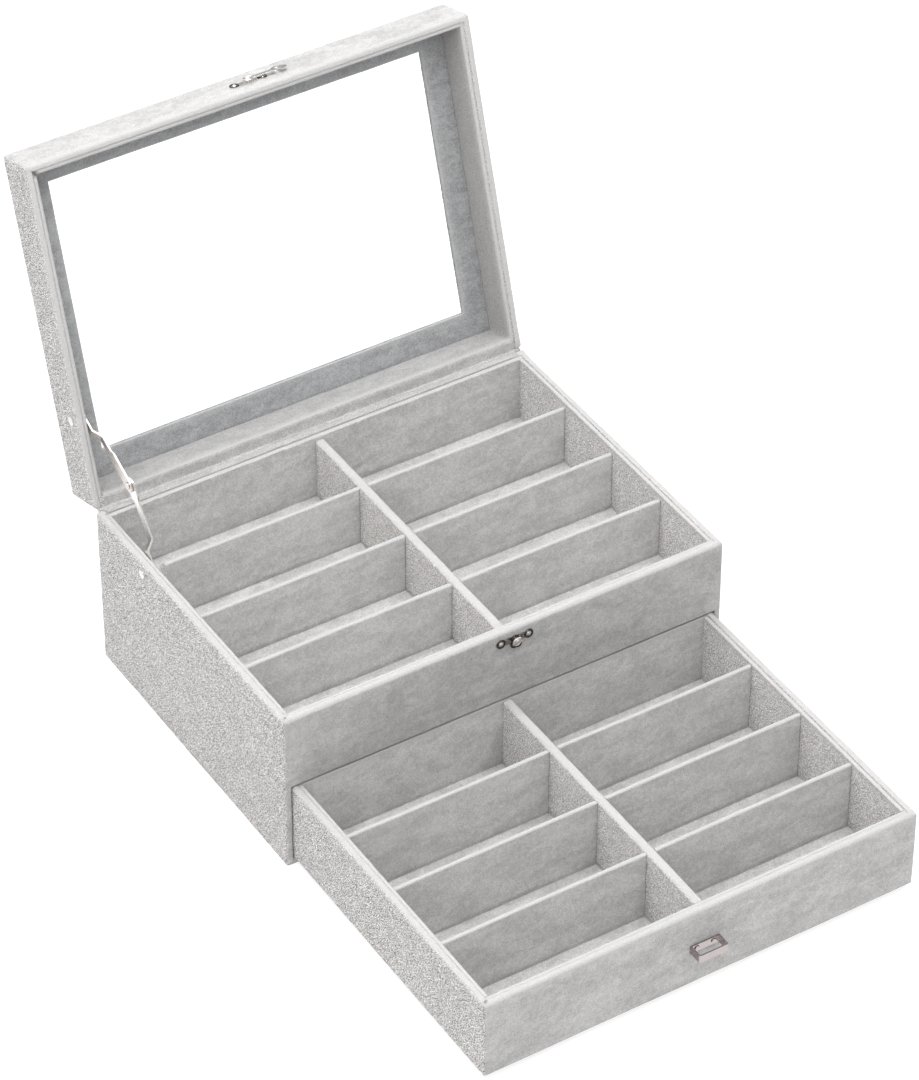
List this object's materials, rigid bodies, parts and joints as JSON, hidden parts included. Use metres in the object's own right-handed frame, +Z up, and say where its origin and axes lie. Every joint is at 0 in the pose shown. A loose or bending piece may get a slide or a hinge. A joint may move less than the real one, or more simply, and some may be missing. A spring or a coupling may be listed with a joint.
{
  "type": "glasses organizer",
  "caption": "Two-layer velvet-covered glasses case with a slotted tray, a slotted drawer, a windowed lid, a folding stay and a hook latch.",
  "frame": {"origin": "centre of the case's underside, on the surface it stands on", "axes": "+Z up, -Y towards the front with the drawer, +X to the right seen from the front"},
  "size_m": [0.3508, 0.6146, 0.377],
  "materials": {
    "velvet_covered_board": "matte",
    "velvet_lining": "matte",
    "hinge_velvet": "matte",
    "clear_pane": "gloss",
    "latch_metal": "polished",
    "pull_metal": "satin"
  },
  "bodies": {
    "case": {"case_bottom_board": "velvet_covered_board", "case_left_side": "velvet_covered_board", "case_right_side": "velvet_covered_board", "case_back_panel": "velvet_covered_board", "case_front_rail": "velvet_covered_board", "tray_shelf": "velvet_lining", "tray_floor_pad": "velvet_lining", "tray_liner_left": "velvet_lining", "tray_liner_right": "velvet_lining", "tray_liner_front": "velvet_lining", "tray_liner_back": "velvet_lining", "tray_centre_divider": "velvet_lining", "tray_divider_left_1": "velvet_lining", "tray_divider_left_2": "velvet_lining", "tray_divider_left_3": "velvet_lining", "tray_divider_right_1": "velvet_lining", "tray_divider_right_2": "velvet_lining", "tray_divider_right_3": "velvet_lining", "hinge_cloth": "hinge_velvet", "catch_plate": "latch_metal", "catch_stud": "latch_metal", "catch_nails": "latch_metal", "stay_case_rivet": "latch_metal"},
    "lid": {"lid_front_wall": "velvet_covered_board", "lid_back_wall": "velvet_covered_board", "lid_left_wall": "velvet_covered_board", "lid_right_wall": "velvet_covered_board", "lid_top_frame": "velvet_covered_board", "lid_window_pane": "clear_pane", "lid_pane_retainer": "velvet_lining", "lid_liner": "velvet_lining", "latch_plate": "latch_metal", "latch_nails": "latch_metal", "latch_pivot_pin": "latch_metal", "stay_lid_rivet": "latch_metal"},
    "latch_hook": {"latch_hook": "latch_metal"},
    "stay_lower_arm": {"stay_lower_arm": "latch_metal", "stay_knee_rivet_tail": "latch_metal"},
    "stay_upper_arm": {"stay_upper_arm": "latch_metal", "stay_knee_rivet_head": "latch_metal"},
    "drawer": {"drawer_bottom": "velvet_covered_board", "drawer_floor_pad": "velvet_lining", "drawer_left_side": "velvet_covered_board", "drawer_right_side": "velvet_covered_board", "drawer_front_panel": "velvet_covered_board", "drawer_back": "velvet_covered_board", "drawer_liner_left": "velvet_lining", "drawer_liner_right": "velvet_lining", "drawer_liner_front": "velvet_lining", "drawer_liner_back": "velvet_lining", "drawer_centre_divider": "velvet_lining", "drawer_divider_left_1": "velvet_lining", "drawer_divider_left_2": "velvet_lining", "drawer_divider_left_3": "velvet_lining", "drawer_divider_right_1": "velvet_lining", "drawer_divider_right_2": "velvet_lining", "drawer_divider_right_3": "velvet_lining", "drawer_pull": "pull_metal", "drawer_pull_rivets": "pull_metal"}
  },
  "joints": [
    {"name": "lid_hinge", "type": "hinge", "parent": "case", "child": "lid", "pos_m": [0, 0.129, 0.13015], "axis": [1, 0, 0], "range_deg": [0, 106.5], "deforming": ["hinge_cloth"]},
    {"name": "drawer_slide", "type": "slide", "parent": "case", "child": "drawer", "axis": [0, 1, 0], "range_m": [0, 0.2395]},
    {"name": "hook_swivel", "type": "hinge", "parent": "lid", "child": "latch_hook", "pos_m": [0.005, 0.21599, 0.37576], "axis": [0, -0.284, -0.9588], "range_deg": [-90, 90]},
    {"name": "stay_lower_pivot", "type": "hinge", "parent": "case", "child": "stay_lower_arm", "pos_m": [-0.1667, 0.0625, 0.12115], "axis": [1, 0, 0], "range_deg": [0, 123.03]},
    {"name": "stay_upper_pivot", "type": "hinge", "parent": "lid", "child": "stay_upper_arm", "pos_m": [-0.1667, 0.15652, 0.19136], "axis": [1, 0, 0], "range_deg": [-123.03, 0]}
  ],
  "couplings": [
    {"joint": "stay_lower_pivot", "follows": "lid_hinge", "ratio": 1.1505},
    {"joint": "stay_upper_pivot", "follows": "lid_hinge", "ratio": -1.1505}
  ]
}
